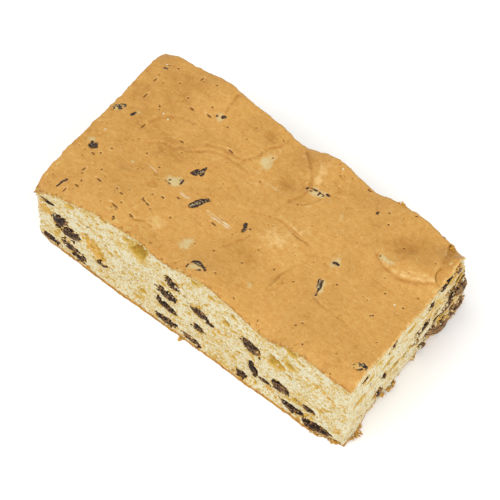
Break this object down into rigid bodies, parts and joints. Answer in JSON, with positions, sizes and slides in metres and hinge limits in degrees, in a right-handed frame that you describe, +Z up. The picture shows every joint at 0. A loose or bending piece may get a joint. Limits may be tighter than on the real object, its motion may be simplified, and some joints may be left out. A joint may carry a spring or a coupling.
{
  "type": "sultana cake slab",
  "caption": "Rectangular slab of sultana sheet cake with a baked top skin, pale crumb sides showing dried fruit, and a thin brown base.",
  "frame": {"origin": "under the middle of the slab's base", "axes": "+X along the long side, +Y from the front cut side to the back, +Z up"},
  "size_m": [0.1841, 0.0991, 0.0544],
  "materials": {
    "baked_skin": "smooth golden baked skin, slightly satin, with pores and creases",
    "crumb": "pale yellow open cake crumb",
    "base_crust": "thin brown baked base, flaky at its edge",
    "sultana": "dark wrinkled dried fruit with a dull shine"
  },
  "bodies": {
    "root": {"cake": "baked_skin"}
  },
  "joints": []
}
